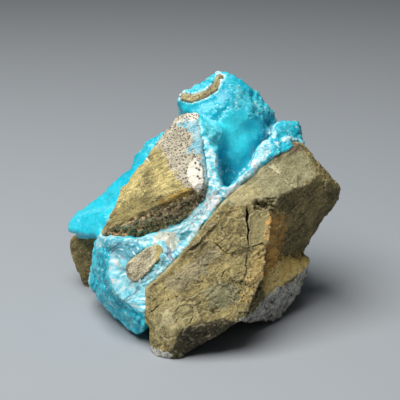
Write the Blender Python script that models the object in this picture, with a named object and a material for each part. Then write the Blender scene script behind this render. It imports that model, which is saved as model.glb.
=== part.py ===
"""A hand specimen of blue hemimorphite on broken olive-brown rock, resting on three points.

Hemimorphite grew as a crust round pieces of a shattered rock and cemented them, so each rock
piece is an object of its own and the whole mineral crust is one. All sizes are real ones.

Corners are given in millimetres as the specimen is looked at from the front: across to the
right, up, and back away from the eye, counted from a point in the middle of the specimen. The
eye looks slightly down, so spot() turns such a corner into the specimen's own frame, which has
+Z up, +Y to the back and its origin on the resting surface below the middle.
"""

import math

import bmesh
import bpy
from mathutils import Matrix, Vector, noise
from mathutils.bvhtree import BVHTree

MM = 0.001

# How the specimen is looked at: these only place the corners below.
EYE_DISTANCE = 370 * MM
EYE_TILT = math.radians(20)
MIDDLE = Vector((1.7, -17.6, 40.0)) * MM

# Closeness of the crust to the rock that it grew on, and how finely a lump is rounded.
CRUST_GAP = 0.45 * MM
LUMP_ROUNDS = 3

# Small relief of broken rock: facets about this size and this deep.
CHISEL_SIZE = 9 * MM
CHISEL_DEPTH = 0.45 * MM
CHISEL_TILT = 1.6

# Small relief of the crust where it grew free of rock, and larger clusters on its far side.
GRAPE_SIZE = 6.5 * MM
GRAPE_HEIGHT = 1.1 * MM
CLUSTER_SIZE = 15 * MM
CLUSTER_HEIGHT = 5 * MM
GRAPE_MIDDLE = 0.6
FREE_FROM = 4 * MM
FREE_FULLY = 9 * MM

# Face sizes before thinning, and about how many triangles each piece keeps.
SKIN = 1.0 * MM
CUTTER_SKIN = 0.6 * MM
CUTTER_TRIANGLES = 300
MAIN_TRIANGLES = 1600
WEDGE_TRIANGLES = 500
LEFT_TRIANGLES = 350
INCLUSION_TRIANGLES = 120
CRUST_TRIANGLES = 4900

# The broken faces of the main rock, seen from the front.
MAIN_FRONT = [
    (-19.5, -33, -6.4),
    (-19.5, -24.1, -4.9),
    (-10, -14, -3.6),
    (6.6, 5.3, -1),
    (14, 4.5, -1.9),
    (22.6, 0.5, -3.6),
    (20, -11, -6),
    (19.2, -20.5, -8.6),
    (17, -26, -10.4),
    (13.5, -33.6, -12),
    (4.3, -35.8, -13),
    (-8.9, -37.3, -14.2),
    (-18.5, -42.6, -5.5),
    (-16, -47.5, -7),
    (-11.5, -48.5, -9),
    (-5.4, -44.6, -3),
    (4.5, -36.6, -6),
]
MAIN_BACK = [
    (-15, -34, 12),
    (-10, -46, 4),
    (4, -34, 22),
    (-4, -10, 20),
    (6, -3, 20),
    (16, -4, 16),
    (14, -20, 18),
]
# The raised strip of the main rock along the crust.
STRIP = [
    (-9, -14, -4.8),
    (-5.5, -10.1, -5.6),
    (-1.8, -5, -4.2),
    (-0.4, -1.7, -3.4),
    (3.8, 3.7, -1.9),
    (6.6, 4.6, -1.9),
    (4.3, -2.6, -4.6),
    (1.6, -5.6, -5.8),
    (-2.3, -10, -6.8),
    (-6, -8, 4),
    (0, -4, 3),
]
# Its upper right shoulder, with the lit top face and the far right corner.
SHOULDER = [
    (6.6, 5.3, -0.9),
    (23.1, 22.6, 9),
    (26.4, 24.8, 10.5),
    (29.7, 24.3, 11.5),
    (33.3, 23.4, 13),
    (37.2, 18.2, 13),
    (39, 15, 11),
    (37, 13, 6),
    (30.5, 9.5, 1),
    (24, 6.3, -2.5),
    (14, 3.5, -1.8),
    (45, 9.2, 15),
    (44.7, 6.4, 17),
    (40, 1, 21),
    (34.5, -7, 24),
    (31.5, -13, 26),
    (20, -9, 8),
    (20, -16, 10),
    (25, 12, 34),
    (38, 10, 36),
    (28, -12, 42),
    (9, -3, 26),
]
# Its low ledge on the right, which is one of the three feet.
LEDGE = [
    (17.5, -25.5, 1),
    (24, -23.6, 7),
    (29.4, -19.3, 14),
    (34, -16.5, 19),
    (20, -15, 8),
    (31.5, -12, 24),
    (34.8, -14.2, 23),
    (21.5, -28, 9),
    (24.3, -34.6, 19),
    (30.8, -25.6, 25),
    (12, -35, -2),
    (12, -33, 12),
    (30, -12, 44),
    (22, -30, 40),
    (8, -28, 36),
    (30, -24, 40),
    (5, -10, 30),
]
# The hollow scooped out of the main rock's right side: middle and half-sizes.
SCOOP = ((50, -12, 2), (20, 20, 20))
# What is broken out of it along the crust, as outlines seen from the front, and how deep.
MAIN_EDGES = [
    [(-19.5, -24.1), (-10.2, -14.8), (-7.4, -12.9), (-1.8, -5), (3.8, 3.7), (6.6, 5.3), (-24, 4)],
    [(6.6, 5.3), (13.6, 10.2), (16.5, 13.5), (23.1, 22.6), (6, 26)],
]
EDGE_DEPTH = (-20, 26)
# Its rough notch, its open crack, and the knob below them.
NOTCH = [
    (14.6, 6.2, -6),
    (18, 6.8, -6),
    (22.3, 6, -6),
    (20.5, -0.5, -6),
    (15, -0.2, -6),
    (17, 4.6, 3),
    (20, 3.4, 2.4),
]
CRACK = [(13.5, 2.4), (14.4, 2.4), (14.3, -11.4), (13.9, -11.4)]
CRACK_DEPTH = (-12, 0.5)
KNOB = ((-6.6, -32.4, -11.4), (4.4, 3.6, 2.2))

# The wedge of rock at the upper left.
WEDGE_RIDGE = [
    (-34.8, -6, 6),
    (-24.4, 0, 0),
    (-16.5, 3.5, -4),
    (-11, 6, -5.5),
    (-5.4, 8.6, -5.5),
    (-1, 11.7, -3.5),
    (0.5, 8.6, -2.2),
]
WEDGE_FOOT = [
    (-32.3, -7.2, 8),
    (-21.8, -7.2, 5.5),
    (-16.5, -5.8, 4.5),
    (-7.4, -2.7, 2.5),
    (-1.2, 4.2, 0),
]
# How far the crust stays open in front of the wedge's dark underside.
WEDGE_OPENING = 20
WEDGE_TOP = [
    (-2.8, 35, 14),
    (-8.7, 33, 16),
    (-14, 26.2, 16),
    (-17.4, 20.8, 14),
    (-20.6, 18.2, 13),
    (-23.4, 13.2, 11),
    (-27.4, 9, 10),
    (-28.6, 5.6, 8.5),
    (-0.5, 14, -1),
    (-2, 22, 5),
    (-1.6, 29, 9),
    (-12, 22, 27),
    (-28, 2, 18),
    (-10, -1, 16),
    (-5, 12, 18),
]
# The small piece that the crust wraps all round.
INCLUSION = [
    (-26, -15.5, -4.4),
    (-26.2, -20, -4.6),
    (-23.5, -22.4, -5),
    (-20.2, -20.2, -5.4),
    (-17, -16.3, -5.4),
    (-13.7, -13.6, -5.2),
    (-13.4, -10.6, -4.6),
    (-15, -9, -4),
    (-18.3, -9.8, -4),
    (-21.5, -12.5, -4.2),
    (-20, -16, 7),
    (-17, -12, 6),
    (-23, -18, 6),
]
# The rock at the back left, which is another foot.
LEFT_ROCK = [
    (-44.8, -7.5, 42),
    (-36, -5.5, 38),
    (-34, -11, 36),
    (-37.3, -18, 40),
    (-37.5, -24, 45),
    (-39.6, -24, 46),
    (-41.5, -19.5, 44),
    (-44.5, -14, 42),
    (-40, -4, 58),
    (-20, -2, 62),
    (-16, -22, 54),
    (-30, -22, 44),
    (-14, -8, 44),
    (-34, -22, 60),
]
# The thin sheet of rock near the top, as the line of its front edge, and its sizes.
SHEET_EDGE = [
    (-7.6, 39.4, 20.6),
    (-4, 38.6, 19),
    (0.5, 40.1, 18.8),
    (3.4, 42.4, 20),
    (5.4, 46.1, 23.5),
]
SHEET_DEPTH = 5
SHEET_THICKNESS = 1.7

# The crust. Slabs are broken masses with flat faces, given by their corners.
LOWER_SLAB = [
    (-35.5, -6.5, 7),
    (-31, -10, 0),
    (-32.5, -19, 0),
    (-31, -24, -1),
    (-26.5, -29, -3),
    (-20, -33.5, -5),
    (-18.5, -25, -5.2),
    (-9, -14.5, -4.1),
    (-1.5, -5, -3),
    (6.6, 4.6, -1.6),
    (7, 9, -0.6),
    (2, 9.5, -1),
    (-12, -1, -1),
    (-28, -5, 1),
    (-37.5, -25.5, 22),
    (-38, -22, 28),
    (-35, -28, 19),
    (-30, -32.5, 13),
    (-26, -37, 7),
    (-22, -39.5, 1),
    (-20.5, -38, -4),
    (-36, -8, 22),
    (-12, -29.5, 20),
    (8, 4, 18),
    (-4, -21, 34),
    (-20, -6, 40),
]
RIGHT_RIM = [
    (4.5, 5, -1),
    (2, 8.5, -2),
    (7.5, 10, 0),
    (12.5, 14, 2),
    (17, 22, 6),
    (19.5, 26, 8),
    (23.5, 30, 12),
    (28, 31.6, 15),
    (31.4, 28, 16),
    (33.2, 23, 14),
    (29, 22.5, 8.5),
    (23, 21.5, 6),
    (17.5, 17.5, 3),
    (9, 8.5, 0.5),
    (8, 8, 14),
    (20, 20, 24),
    (30, 22, 30),
    (14, 4, 30),
    (24, 14, 38),
]
LEFT_RIM = [
    (-2, 34.5, 12),
    (0, 31.5, 11),
    (3, 27.5, 9),
    (5.6, 22, 5.5),
    (6.4, 15, 2),
    (5.8, 9.5, -1),
    (2, 7, -2),
    (-1.5, 9, 0),
    (-2, 14, 1),
    (-3, 22, 6),
    (-3, 29, 10),
    (-4, 20, 20),
    (3, 24, 16),
    (3, 10, 12),
    (0, 30, 22),
]
# The mass behind the hollow, up to the top of the specimen.
DOME = [
    (-9.4, 36.5, 22),
    (-8.4, 40.5, 22),
    (1, 46, 24),
    (5, 47.6, 28),
    (9, 47.4, 24),
    (13, 44, 26),
    (17, 41, 27),
    (20, 37.5, 26),
    (23.5, 33, 27),
    (16, 34, 17),
    (8, 40, 18),
    (2, 34, 16),
    (-4, 33, 18),
    (12, 24, 18),
    (6, 20, 17),
    (20, 27, 22),
    (-8, 34, 36),
    (2, 42, 42),
    (16, 36, 42),
    (24, 26, 38),
    (10, 10, 30),
]
# The mass that fills the middle, behind the wedge and the left rim.
CORE = [
    (-14, -4, 14),
    (3, 2, 10),
    (3, 12, 13),
    (-2, 30, 22),
    (-14, 22, 28),
    (0, 4, 36),
    (6, 20, 36),
    (-20, 4, 36),
    (-12, -6, 34),
    (12, 0, 30),
]
# The masses behind the wedge, down to the far left.
FAR_LOBE = [
    (-46.2, -4.3, 36),
    (-45.8, -2.2, 37),
    (-41, -7.4, 34),
    (-41.4, 1.4, 38),
    (-38.8, 3.2, 38),
    (-35.8, 5.4, 38),
    (-32.5, 8, 37),
    (-35, -6.5, 22),
    (-30, 1.5, 22),
    (-26, 6, 34),
    (-36, -7, 46),
    (-32, 4, 50),
    (-20, 4, 44),
    (-22, -6, 36),
]
NEAR_LOBE = [
    (-32.6, 8, 34),
    (-31, 10.8, 35),
    (-29, 11.4, 35),
    (-27.5, 13.1, 35),
    (-23.6, 16.6, 34),
    (-28, 2, 22),
    (-20, 14, 22),
    (-20, 14, 44),
    (-28, 6, 44),
    (-14, 6, 40),
]
HIGH_LOBE = [
    (-24, 16, 33),
    (-22.3, 18.5, 33),
    (-20.2, 21.3, 32),
    (-18.2, 23.7, 32),
    (-14.9, 25.8, 31),
    (-10, 29.5, 30),
    (-5, 33, 30),
    (-16, 14, 20),
    (-6, 20, 22),
    (-22, 14, 42),
    (-12, 24, 46),
    (0, 30, 44),
    (-4, 12, 42),
]
# Lumps are rounded masses: middle, then half-sizes across, up and back.
BULB = ((8.2, 20.5, 24), (8.3, 17, 9))
RIM_LUMPS = [
    ((3.6, 26, 15), (3.6, 4.6, 4.5)),
    ((27, 27, 20), (5.5, 5.5, 7)),
]
BACK_LUMPS = [
    ((-4, 10, 40), (24, 22, 17)),
    ((8, 26, 38), (16, 18, 12)),
    ((12, 4, 44), (20, 18, 14)),
    ((-22, -2, 46), (18, 12, 13)),
    ((4, -7, 44), (17, 12, 14)),
]
# The open hollow between the two rims and the dome: deep rounded parts, then the outlines of
# its mouth seen from the front and how deep those go.
HOLLOW_LUMPS = [
    ((10, 22, 8), (6.5, 10, 10)),
    ((15, 28, 12), (8, 5, 9)),
    ((7.6, 13, 8), (3, 5.5, 9)),
    ((21.8, 31.4, 20), (3, 3.6, 9)),
]
HOLLOW_MOUTHS = [
    [(5.4, 9.8), (8.3, 10.2), (11.2, 13.1), (13.6, 16), (15.7, 21.4), (3.4, 21.4), (5.8, 13.5)],
    [(2.9, 22), (15.7, 21), (18.2, 24.3), (21, 29), (22, 32), (9.9, 34), (5.6, 33), (2.6, 29)],
]
MOUTH_DEPTH = (-12, 12)
# The slit where the lower slab's two sides never met.
SLIT = [(-8.7, -8.2), (-7.2, -5.6), (-4.2, -3.1), (-5.5, -5.9)]
SLIT_DEPTH = (-12, 1)


def spot(across, up, back):
    """The place of a corner given as looked at from the front, in millimetres."""
    nearness = 1 + back * MM / EYE_DISTANCE
    across, up, back = across * nearness * MM, up * nearness * MM, back * MM
    rise = up * math.cos(EYE_TILT) - back * math.sin(EYE_TILT)
    run = up * math.sin(EYE_TILT) + back * math.cos(EYE_TILT)
    return MIDDLE + Vector((across, run, rise))


def stone(name, colour, roughness):
    """A plain dry mineral surface."""
    material = bpy.data.materials.new(name)
    material.use_nodes = True
    shader = material.node_tree.nodes["Principled BSDF"]
    shader.inputs["Base Color"].default_value = (*colour, 1)
    shader.inputs["Roughness"].default_value = roughness
    shader.inputs["Metallic"].default_value = 0
    return material


def new_object(name, bm, material=None):
    """An object at the origin that holds the mesh, with its faces pointing out."""
    bmesh.ops.recalc_face_normals(bm, faces=bm.faces)
    mesh = bpy.data.meshes.new(name)
    bm.to_mesh(mesh)
    bm.free()
    if material:
        mesh.materials.append(material)
    obj = bpy.data.objects.new(name, mesh)
    bpy.context.scene.collection.objects.link(obj)
    return obj


def hull(corners):
    """The smallest block with flat faces that holds all the corners."""
    bm = bmesh.new()
    for corner in corners:
        bm.verts.new(spot(*corner))
    made = bmesh.ops.convex_hull(bm, input=bm.verts)
    inside = {v for v in made["geom_interior"] if isinstance(v, bmesh.types.BMVert)}
    bmesh.ops.delete(bm, geom=list(inside), context="VERTS")
    return bm


def lump(middle, half):
    """A rounded mass."""
    bm = bmesh.new()
    bmesh.ops.create_icosphere(bm, subdivisions=LUMP_ROUNDS, radius=1)
    turn = Matrix.Rotation(-EYE_TILT, 4, "X")
    size = Matrix.Diagonal((half[0] * MM, half[2] * MM, half[1] * MM, 1))
    bmesh.ops.transform(bm, matrix=turn @ size, verts=bm.verts)
    bmesh.ops.translate(bm, vec=spot(*middle), verts=bm.verts)
    return bm


def applied(obj):
    """The object with its modifiers made part of its mesh."""
    graph = bpy.context.evaluated_depsgraph_get()
    done = bpy.data.meshes.new_from_object(obj.evaluated_get(graph))
    obj.modifiers.clear()
    obj.data = done
    return obj


def combine(obj, others, operation):
    """Joins the other objects to obj, or cuts them out of it, and removes them."""
    for other in others:
        step = obj.modifiers.new(operation.title(), "BOOLEAN")
        step.operation = operation
        step.solver = "EXACT"
        step.object = other
    applied(obj)
    for other in others:
        bpy.data.objects.remove(other)
    return obj


def helper(bm):
    return new_object("helper", bm)


def toward_eye(corners, distance):
    """The corners, and the same corners that much nearer the eye."""
    return corners + [(x, y, back - distance) for x, y, back in corners]


def seen_through(outline, depths):
    """The corners of a block that looks like the outline from the front."""
    return [(x, y, back) for x, y in outline for back in depths]


def sheet_section(n):
    """The corners of the rock sheet across a point of its front edge."""
    x, y, back = SHEET_EDGE[n]
    before = SHEET_EDGE[max(0, n - 1)]
    after = SHEET_EDGE[min(len(SHEET_EDGE) - 1, n + 1)]
    along = Vector((after[0] - before[0], after[1] - before[1])).normalized()
    side = Vector((-along.y, along.x)) * SHEET_THICKNESS / 2
    return [
        (x + side.x * sign, y + side.y * sign, back + deeper)
        for sign in (-1, 1)
        for deeper in (0, SHEET_DEPTH)
    ]


def sheet_piece(n):
    return sheet_section(n) + sheet_section(n + 1)


def rebuilt(obj, voxel):
    """The object with an even skin of small faces."""
    step = obj.modifiers.new("Even skin", "REMESH")
    step.mode = "VOXEL"
    step.voxel_size = voxel
    return applied(obj)


def thinned(obj, triangles):
    """The object with about that many triangles."""
    obj.data.calc_loop_triangles()
    step = obj.modifiers.new("Fewer faces", "DECIMATE")
    step.ratio = triangles / len(obj.data.loop_triangles)
    return applied(obj)


def moved(obj, height_at):
    """Every point of the object moved along its normal by height_at(point, normal)."""
    places = [v.co + v.normal * height_at(v.co, v.normal) for v in obj.data.vertices]
    for vertex, place in zip(obj.data.vertices, places):
        vertex.co = place
    return obj


def chiselled(point, size, seed):
    """Broken flat facets about that size, as a height from -1 to 1."""
    place = (point - MIDDLE) / size + Vector((seed, seed, seed))
    near = noise.voronoi(place)[1][0]
    tilt = noise.cell_vector(near * 37) * 2 - Vector((1, 1, 1))
    return max(-1, min(1, tilt.dot(place - near) * CHISEL_TILT))


def grape_like(point, size):
    """Rounded lumps about that size with sharp creases between, from 0 to 1."""
    reach = noise.voronoi((point - MIDDLE) / size)[0][0] / 0.85
    return math.sqrt(max(0, 1 - reach * reach))


def broken(obj, triangles, seed):
    """A rock with small ledges and facets on its broken faces."""
    rebuilt(obj, SKIN)
    moved(obj, lambda p, normal: CHISEL_DEPTH * chiselled(p, CHISEL_SIZE, seed))
    return thinned(obj, triangles)


def grown(obj, by):
    """A helper of the same shape, larger by that much all round."""
    bm = bmesh.new()
    bm.from_mesh(obj.data)
    triangles = max(CUTTER_TRIANGLES, 1.3 * len(bm.faces))
    bmesh.ops.subdivide_edges(bm, edges=bm.edges, cuts=1, use_grid_fill=True)
    bm.normal_update()
    places = [v.co + v.normal * by * min(2, v.calc_shell_factor()) for v in bm.verts]
    for vertex, place in zip(bm.verts, places):
        vertex.co = place
    return thinned(rebuilt(helper(bm), CUTTER_SKIN), triangles)


def how_free(rocks):
    """A function that tells from 0 to 1 how far a point is from all rock."""
    trees = [BVHTree.FromPolygons(*faces_of(rock)) for rock in rocks]

    def freedom(point):
        nearest = min(tree.find_nearest(point)[3] for tree in trees)
        return max(0, min(1, (nearest - FREE_FROM) / (FREE_FULLY - FREE_FROM)))

    return freedom


def grapes(rocks):
    """The rounded lumps of the crust: a height for a point with its normal."""
    freedom = how_free(rocks)
    away = Vector((0, math.cos(EYE_TILT), -math.sin(EYE_TILT)))

    def height_at(point, normal):
        unseen = max(0, min(1, 0.2 + 1.2 * normal.dot(away)))
        cluster = CLUSTER_HEIGHT * unseen * (grape_like(point, CLUSTER_SIZE) - GRAPE_MIDDLE)
        small = GRAPE_HEIGHT * (grape_like(point, GRAPE_SIZE) - GRAPE_MIDDLE)
        return freedom(point) * (cluster + small)

    return height_at


def faces_of(obj):
    mesh = obj.data
    return [v.co for v in mesh.vertices], [tuple(p.vertices) for p in mesh.polygons]


def only_largest(obj):
    """The object without the crumbs that cutting left loose."""
    bm = bmesh.new()
    bm.from_mesh(obj.data)
    left = set(bm.verts)
    parts = []
    while left:
        part, edge = set(), [left.pop()]
        while edge:
            vertex = edge.pop()
            part.add(vertex)
            near = {e.other_vert(vertex) for e in vertex.link_edges} & left
            left -= near
            edge += near
        parts.append(part)
    parts.sort(key=len)
    for part in parts[:-1]:
        bmesh.ops.delete(bm, geom=list(part), context="VERTS")
    bm.to_mesh(obj.data)
    bm.free()
    return obj


def standing(obj):
    """The object cut off flat on the resting surface."""
    bm = bmesh.new()
    bm.from_mesh(obj.data)
    everything = bm.verts[:] + bm.edges[:] + bm.faces[:]
    cut = bmesh.ops.bisect_plane(
        bm, geom=everything, plane_co=(0, 0, 0), plane_no=(0, 0, -1), clear_outer=True
    )
    edges = [e for e in cut["geom_cut"] if isinstance(e, bmesh.types.BMEdge)]
    bmesh.ops.holes_fill(bm, edges=edges)
    bm.to_mesh(obj.data)
    bm.free()
    return obj


def make_main_rock():
    finish = stone("olive_brown_rock", (0.24, 0.20, 0.10), 0.85)
    rock = new_object("main_rock", hull(MAIN_FRONT + MAIN_BACK), finish)
    added = [helper(hull(corners)) for corners in (STRIP, SHOULDER, LEDGE)]
    combine(rock, added + [helper(lump(*KNOB))], "UNION")
    taken = [helper(hull(seen_through(edge, EDGE_DEPTH))) for edge in MAIN_EDGES]
    taken += [helper(lump(*SCOOP)), helper(hull(NOTCH))]
    combine(rock, taken, "DIFFERENCE")
    return standing(broken(rock, MAIN_TRIANGLES, 1))


def make_wedge_rock():
    finish = stone("ochre_and_cream_rock", (0.36, 0.29, 0.15), 0.85)
    rock = new_object("wedge_rock", hull(WEDGE_RIDGE + WEDGE_FOOT + WEDGE_TOP), finish)
    return broken(rock, WEDGE_TRIANGLES, 2)


def make_inclusion_rock():
    finish = stone("grey_brown_rock", (0.30, 0.24, 0.14), 0.85)
    return broken(new_object("inclusion_rock", hull(INCLUSION), finish), INCLUSION_TRIANGLES, 4)


def make_left_rock():
    finish = stone("dark_olive_rock", (0.14, 0.12, 0.06), 0.85)
    return standing(broken(new_object("left_rock", hull(LEFT_ROCK), finish), LEFT_TRIANGLES, 3))


def make_rock_sheet():
    finish = stone("tan_rock", (0.36, 0.26, 0.13), 0.85)
    sheet = new_object("rock_sheet", hull(sheet_piece(0)), finish)
    rest = [helper(hull(sheet_piece(n))) for n in range(1, len(SHEET_EDGE) - 1)]
    return combine(sheet, rest, "UNION")


def make_crust(rocks):
    """The whole mineral crust, fitted round the rocks."""
    finish = stone("blue_hemimorphite", (0.08, 0.50, 0.62), 0.35)
    crust = new_object("hemimorphite_crust", hull(LOWER_SLAB), finish)
    masses = (CORE, RIGHT_RIM, LEFT_RIM, DOME, FAR_LOBE, NEAR_LOBE, HIGH_LOBE)
    added = [helper(hull(corners)) for corners in masses]
    combine(crust, added + [helper(lump(*one)) for one in BACK_LUMPS], "UNION")
    taken = [helper(lump(*one)) for one in HOLLOW_LUMPS]
    taken += [helper(hull(seen_through(mouth, MOUTH_DEPTH))) for mouth in HOLLOW_MOUTHS]
    taken.append(helper(hull(toward_eye(WEDGE_RIDGE + WEDGE_FOOT, WEDGE_OPENING))))
    combine(crust, taken, "DIFFERENCE")
    combine(crust, [helper(lump(*one)) for one in [BULB] + RIM_LUMPS], "UNION")
    thinned(moved(rebuilt(crust, SKIN), grapes(rocks)), CRUST_TRIANGLES)
    taken = [grown(rock, CRUST_GAP) for rock in rocks]
    taken.append(helper(hull(seen_through(SLIT, SLIT_DEPTH))))
    return only_largest(combine(crust, taken, "DIFFERENCE"))


def main():
    for old in list(bpy.data.objects):
        bpy.data.objects.remove(old)
    main_rock = make_main_rock()
    small_rocks = [make_wedge_rock(), make_inclusion_rock(), make_left_rock(), make_rock_sheet()]
    make_crust([main_rock] + small_rocks)
    # The crack is opened last, so that the crust isn't fitted into it.
    combine(main_rock, [helper(hull(seen_through(CRACK, CRACK_DEPTH)))], "DIFFERENCE")


main()
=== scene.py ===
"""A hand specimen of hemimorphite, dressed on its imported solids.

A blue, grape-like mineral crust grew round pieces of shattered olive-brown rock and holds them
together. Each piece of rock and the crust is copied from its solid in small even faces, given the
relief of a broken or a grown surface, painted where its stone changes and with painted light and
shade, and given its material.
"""

import math

import bmesh
import bpy
import numpy as np
from bpy.props import FloatProperty, FloatVectorProperty, PointerProperty
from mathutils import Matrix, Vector, noise
from mathutils.bvhtree import BVHTree


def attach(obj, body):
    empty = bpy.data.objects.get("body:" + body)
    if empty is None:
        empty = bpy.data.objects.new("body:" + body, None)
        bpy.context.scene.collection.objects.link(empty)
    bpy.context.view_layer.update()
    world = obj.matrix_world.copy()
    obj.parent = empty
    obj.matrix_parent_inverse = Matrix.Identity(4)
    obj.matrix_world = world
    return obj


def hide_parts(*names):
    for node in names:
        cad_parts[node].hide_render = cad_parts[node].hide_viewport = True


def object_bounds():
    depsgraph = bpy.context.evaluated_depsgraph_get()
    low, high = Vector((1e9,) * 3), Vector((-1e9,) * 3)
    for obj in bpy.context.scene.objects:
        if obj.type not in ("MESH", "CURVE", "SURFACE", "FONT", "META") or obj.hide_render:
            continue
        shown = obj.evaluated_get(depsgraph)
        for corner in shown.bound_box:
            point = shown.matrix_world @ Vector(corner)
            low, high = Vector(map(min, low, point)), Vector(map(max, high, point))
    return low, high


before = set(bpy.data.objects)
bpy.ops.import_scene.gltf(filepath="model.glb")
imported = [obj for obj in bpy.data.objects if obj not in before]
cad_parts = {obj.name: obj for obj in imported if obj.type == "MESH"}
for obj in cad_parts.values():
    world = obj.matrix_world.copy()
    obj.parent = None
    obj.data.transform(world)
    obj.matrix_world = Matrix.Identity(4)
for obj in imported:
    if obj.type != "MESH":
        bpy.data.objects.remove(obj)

bl_info = {
    "name": "Hemimorphite specimen",
    "version": (1, 0, 0),
    "blender": (4, 5, 0),
    "location": "View3D > Sidebar > Specimen",
    "description": "Dresses the solids of a hemimorphite hand specimen",
    "category": "Object",
}

CAD_BOX = [list(corner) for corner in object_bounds()]
MM = 0.001

# How the specimen is looked at: the places below are millimetres across and up from MIDDLE.
EYE_DISTANCE = 370 * MM
EYE_TILT = math.radians(20)
MIDDLE = Vector((1.7, -17.6, 40.0)) * MM
AWAY = Vector((0, math.cos(EYE_TILT), -math.sin(EYE_TILT)))
UPWARD = Vector((0, math.sin(EYE_TILT), math.cos(EYE_TILT)))
VIEW_WIDTH = 132 * MM
VIEW_SHIFT = (-0.0125, 0.04)
SENSOR = 36

# Face sizes of the pieces, and the distance at which the solids' loose corners are one.
MAIN_FACE = 0.43 * MM
WEDGE_FACE = 0.23 * MM
LEFT_FACE = 0.36 * MM
SMALL_FACE = 0.18 * MM
CRUST_FACE = 0.57 * MM
MERGE = 0.001 * MM

# Broken cross-sections of the crust.
RIGHT_RIM = [
    (5.4, 9.8), (8.2, 10.2), (11.2, 13.1), (13.6, 16.0), (15.3, 19.3), (15.7, 21.4), (18.2, 24.3),
    (19.8, 26.7), (21.1, 29.2), (22.8, 31.4), (26.1, 32.0), (30.4, 30.0), (32.7, 26.4),
    (34.0, 22.4), (29.7, 24.3), (26.4, 24.8), (23.1, 22.6), (21.1, 20.5), (18.2, 16.8),
    (16.5, 13.5), (13.6, 10.2), (9.9, 7.8), (6.6, 5.1),
]
LEFT_RIM = [
    (5.4, 9.8), (5.8, 13.5), (5.4, 16.8), (4.1, 20.1), (2.9, 22.6), (1.3, 25.1), (-0.3, 28.1),
    (-2.0, 31.0), (-2.6, 34.3), (-0.3, 21.8), (0.7, 12.5), (0.3, 8.6), (0.6, 5.8), (6.6, 5.1),
]
LOWER_BAND = [
    (0.6, 5.8), (-2.2, 3.9), (-4.1, 2.0), (-6.2, -0.3), (-7.2, -1.2), (-9.5, -2.4),
    (-13.5, -3.6), (-19.5, -6.6), (-27.5, -7.1), (-34.3, -5.4), (-36.0, -7.9), (-35.6, -10.6),
    (-31.4, -10.2), (-32.2, -18.8), (-30.4, -24.1), (-26.4, -28.7), (-19.5, -32.7),
    (-18.8, -28.7), (-19.5, -24.1), (-17.4, -21.8), (-12.5, -17.2), (-7.4, -12.7),
    (-5.5, -10.1), (-3.2, -7.3), (-1.8, -5.0), (-0.4, -1.7), (1.5, 1.1), (3.8, 3.7), (6.6, 5.1),
]
# Patches on the crust.
SUGARY_DOME = [
    (6.9, 43.6), (10.2, 42.9), (13.5, 40.9), (16.8, 39.6), (20.1, 37.0), (23.4, 33.7),
    (20.8, 31.7), (16.8, 34.3), (13.5, 35.6), (10.9, 34.3), (8.9, 37.0), (8.2, 40.3),
]
SUGARY_FOOT = [
    (16.2, 34.3), (20.1, 32.3), (22.1, 29.0), (20.8, 25.1), (18.8, 21.8), (16.8, 25.1),
    (17.5, 29.7),
]
LUMP = [
    (0.0, 32.3), (3.0, 31.7), (5.6, 28.4), (5.6, 23.4), (3.0, 21.1), (0.7, 24.4), (-0.7, 29.0),
]
CREAM_CRUMBS = [
    (-18.2, -6.9), (-14.9, -5.0), (-10.9, -4.6), (-8.8, -6.2), (-8.0, -8.6), (-9.0, -11.2),
    (-10.8, -11.9), (-13.2, -8.9), (-16.5, -8.2),
]
WHITE_STREAK = [(-30.6, -9.2), (-30.2, -12.0), (-29.4, -15.2)]
WHITE_JOINT = [(1.5, 3.8), (4.2, 6.4), (6.6, 7.6), (9.9, 9.0)]
BAND_MIDDLE = [(-5.4, -5.0), (-2.0, -0.4), (1.8, 3.2), (6.4, 6.6)]
WHITE_CORNER = [(13.9, 16.5), (15.8, 17.6)]
GREY_DUST = [(-12.0, -11.0), (-11.2, -14.2)]
SLIT = [(-8.9, -8.2), (-8.0, -5.8), (-5.4, -4.2), (-4.0, -5.0), (-6.2, -8.0)]
SMOOTH_GROWTH = [
    (-11.5, 38.5), (0.0, 39.9), (10.2, 46.5), (14.9, 41.6), (15.5, 34.3), (20.1, 30.0),
    (18.8, 21.8), (11.6, 10.2), (5.6, 9.6), (5.3, 20.1), (3.0, 26.7), (-3.0, 31.7), (-11.5, 33.5),
]
SMOOTH_LOBE = [
    (-46.9, -2.0), (-43.6, 2.0), (-33.7, 8.5), (-19.0, 24.0), (-20.0, 10.0), (-33.0, -6.5),
    (-44.0, -7.9),
]
# The bulb is brightened by painted light, standing in for light let through the crust.
BULB = [
    (4.6, 32.0), (8.0, 35.0), (14.0, 34.6), (18.5, 30.0), (17.4, 22.0), (13.6, 16.5), (10.6, 16.5),
    (8.8, 21.0), (5.6, 26.5),
]
CLEAR_RIM = [
    (23.4, 25.1), (22.8, 29.0), (24.8, 32.0), (28.7, 32.0), (31.5, 29.5), (33.0, 24.5),
    (28.1, 26.4),
]
CLEAR_RING = [
    (-34.7, -7.3), (-28.7, -7.9), (-21.4, -9.9), (-19.5, -11.9), (-25.4, -15.2), (-28.7, -13.9),
    (-33.3, -10.6),
]
HOLLOW_SHADE = [
    (5.3, 19.5), (7.3, 20.5), (8.9, 18.5), (9.2, 14.5), (7.6, 10.6), (5.6, 9.6), (5.0, 15.2),
]
# Painted shade at the foot of the hollow.
HOLLOW_FOOT = [(9.2, 21.0), (14.2, 20.5), (15.2, 18.5), (12.5, 14.0), (8.8, 9.9), (6.6, 9.8)]
SHEET_MARGIN = [
    (-14.0, 41.0), (-6.0, 50.0), (0.0, 56.5), (9.0, 57.0), (8.0, 49.0), (2.0, 42.0), (-7.0, 37.0),
]
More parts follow.
